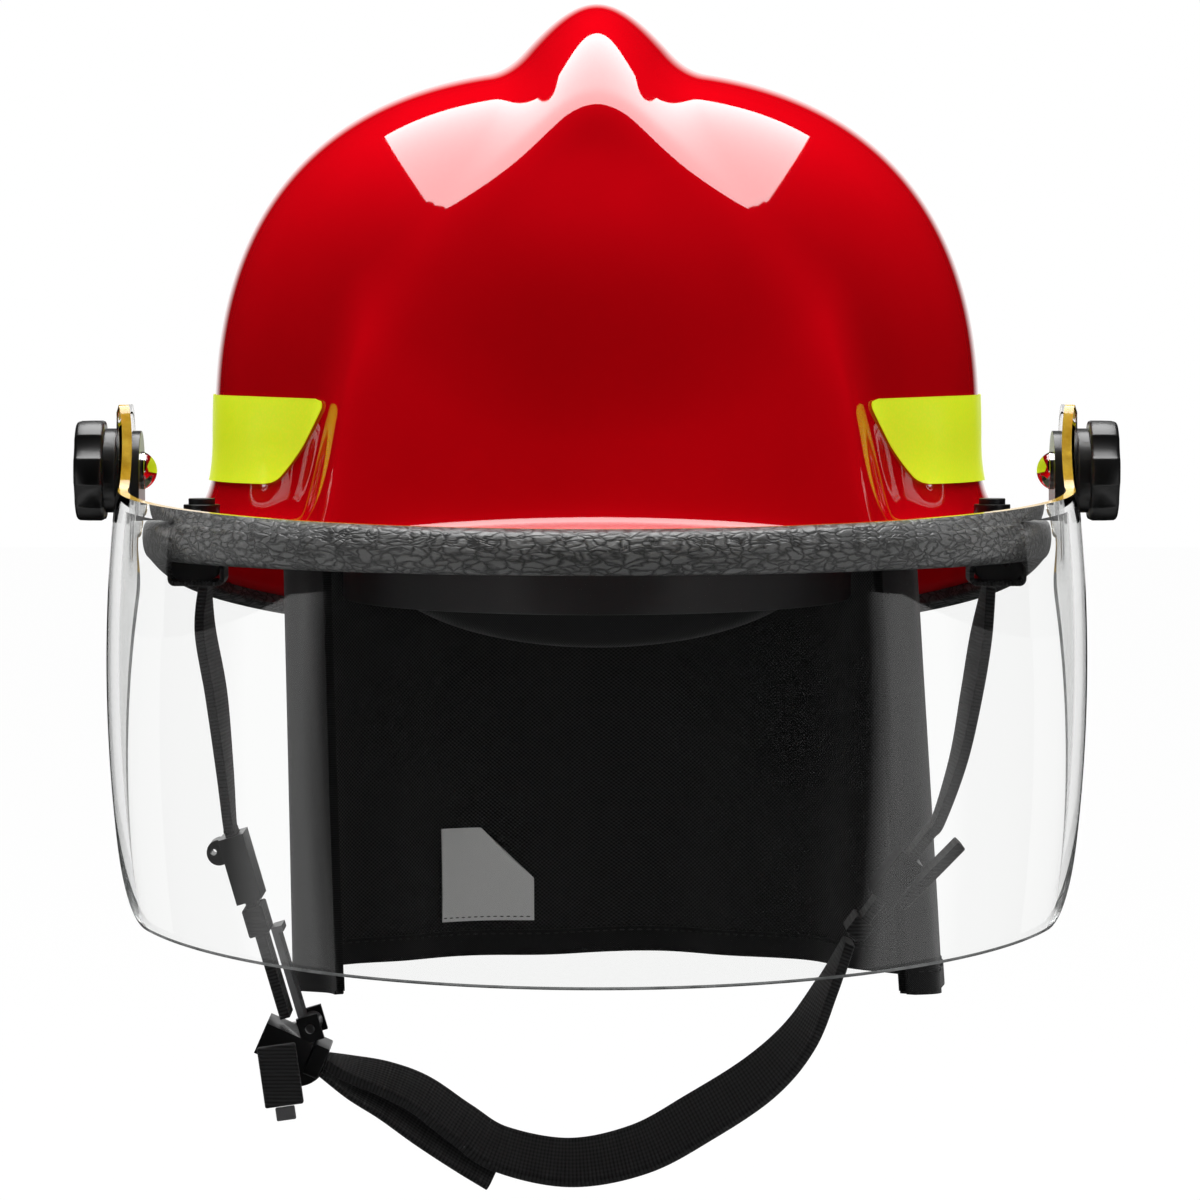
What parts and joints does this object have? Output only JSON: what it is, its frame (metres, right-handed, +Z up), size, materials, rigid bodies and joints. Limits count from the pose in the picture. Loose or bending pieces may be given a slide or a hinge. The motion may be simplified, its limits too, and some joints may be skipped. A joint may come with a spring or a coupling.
{
  "type": "fire helmet",
  "caption": "Crested fire helmet with a flip-up face shield, foam liner, ratchet headband, cloth neck cover and buckled chin strap.",
  "frame": {"origin": "centre of the headband at mid height, where the head sits", "axes": "+Z up, -Y towards the front of the helmet, +X to the right as seen from the front"},
  "size_m": [0.3148, 0.3481, 0.3683],
  "materials": {
    "shell_red": "glossy red moulded composite",
    "trim_grey": "semi-gloss wrinkled grey beading",
    "film_lime": "lime reflective film",
    "lens_clear": "clear polycarbonate with an amber edge",
    "knob_black": "satin black moulded plastic",
    "fitting_black": "semi-gloss black moulded plastic",
    "bolt_chrome": "polished domed head",
    "screw_black": "black steel",
    "liner_foam": "dark foam",
    "band_black": "black moulded plastic",
    "pad_cloth": "black padded cloth",
    "webbing": "black ribbed webbing",
    "tail_pale": "grey moulded plastic",
    "cover_cloth": "black cloth with a mesh inner face",
    "snap_metal": "dark metal",
    "label_cloth": "pale blank tag",
    "lever_grey": "grey moulded plastic",
    "pin_steel": "steel pin"
  },
  "bodies": {
    "helmet": {"shell": "shell_red", "edge_trim": "trim_grey", "patch_front_left": "film_lime", "patch_front_right": "film_lime", "patch_rear_left": "film_lime", "patch_rear_right": "film_lime", "pivot_bracket_left": "fitting_black", "pivot_bracket_right": "fitting_black", "pivot_bolt_left": "bolt_chrome", "pivot_bolt_right": "bolt_chrome", "bracket_screws": "screw_black", "impact_liner": "liner_foam", "headband": "band_black", "brow_pad": "pad_cloth", "crown_straps": "webbing", "suspension_clips": "band_black", "ratchet_housing": "band_black", "nape_pad": "pad_cloth", "neck_cover": "cover_cloth", "cover_snaps": "snap_metal", "care_label": "label_cloth", "strap_hanger_left": "fitting_black", "strap_hanger_right": "fitting_black", "hanger_rivets": "snap_metal", "upper_strap_left": "webbing", "upper_strap_right": "webbing", "strap_guide": "fitting_black", "strap_keeper_left": "webbing", "lever_pin": "pin_steel", "buckle_socket": "fitting_black", "pull_tab": "webbing", "tab_tip": "lever_grey", "strap_end": "webbing", "strap_keeper_right": "webbing", "lower_strap": "webbing"},
    "visor": {"visor_lens": "lens_clear"},
    "knob_left": {"visor_knob_left": "knob_black"},
    "knob_right": {"visor_knob_right": "knob_black"},
    "ratchet": {"ratchet_knob": "knob_black", "ratchet_pinion": "tail_pale"},
    "tail_left": {"band_tail_left": "tail_pale"},
    "tail_right": {"band_tail_right": "tail_pale"},
    "lever": {"release_lever": "lever_grey"},
    "plug": {"buckle_plug": "fitting_black", "strap_tail": "webbing"},
    "adjuster": {"strap_adjuster": "fitting_black"}
  },
  "joints": [
    {"name": "visor_tilt", "type": "hinge", "parent": "helmet", "child": "visor", "pos_m": [0, -0.055, 0.025], "axis": [-1, 0, 0], "range_deg": [0, 80]},
    {"name": "knob_left_turn", "type": "hinge", "parent": "helmet", "child": "knob_left", "pos_m": [-0.15, -0.055, 0.025], "axis": [-1, 0, 0], "range_deg": [-90, 90]},
    {"name": "knob_right_turn", "type": "hinge", "parent": "helmet", "child": "knob_right", "pos_m": [0.15, -0.055, 0.025], "axis": [1, 0, 0], "range_deg": [-90, 90]},
    {"name": "ratchet_turn", "type": "hinge", "parent": "helmet", "child": "ratchet", "pos_m": [0, 0.112, -0.008], "axis": [0, 1, 0], "range_deg": [-180, 180]},
    {"name": "tail_left_turn", "type": "hinge", "parent": "helmet", "child": "tail_left", "pos_m": [0, 0.026, -0.008], "axis": [0, 0, 1], "range_deg": [-7.2, 7.2]},
    {"name": "tail_right_turn", "type": "hinge", "parent": "helmet", "child": "tail_right", "pos_m": [0, 0.026, -0.008], "axis": [0, 0, 1], "range_deg": [-7.2, 7.2]},
    {"name": "lever_open", "type": "hinge", "parent": "helmet", "child": "lever", "pos_m": [-0.08889, -0.00456, -0.14912], "axis": [0, 1, 0], "range_deg": [0, 60], "stiffness_Nm_per_rad": 0.05, "springref_deg": -11.46},
    {"name": "buckle_slide", "type": "slide", "parent": "helmet", "child": "plug", "axis": [0.9164, 0, -0.4003], "range_m": [0, 0.018], "deforming": ["lower_strap"]},
    {"name": "adjuster_slide", "type": "slide", "parent": "helmet", "child": "adjuster", "axis": [0.6004, 0, 0.7997], "range_m": [-0.008, 0.008]}
  ],
  "couplings": [
    {"joint": "tail_left_turn", "follows": "ratchet_turn", "ratio": -0.03956},
    {"joint": "tail_right_turn", "follows": "ratchet_turn", "ratio": 0.03956}
  ]
}
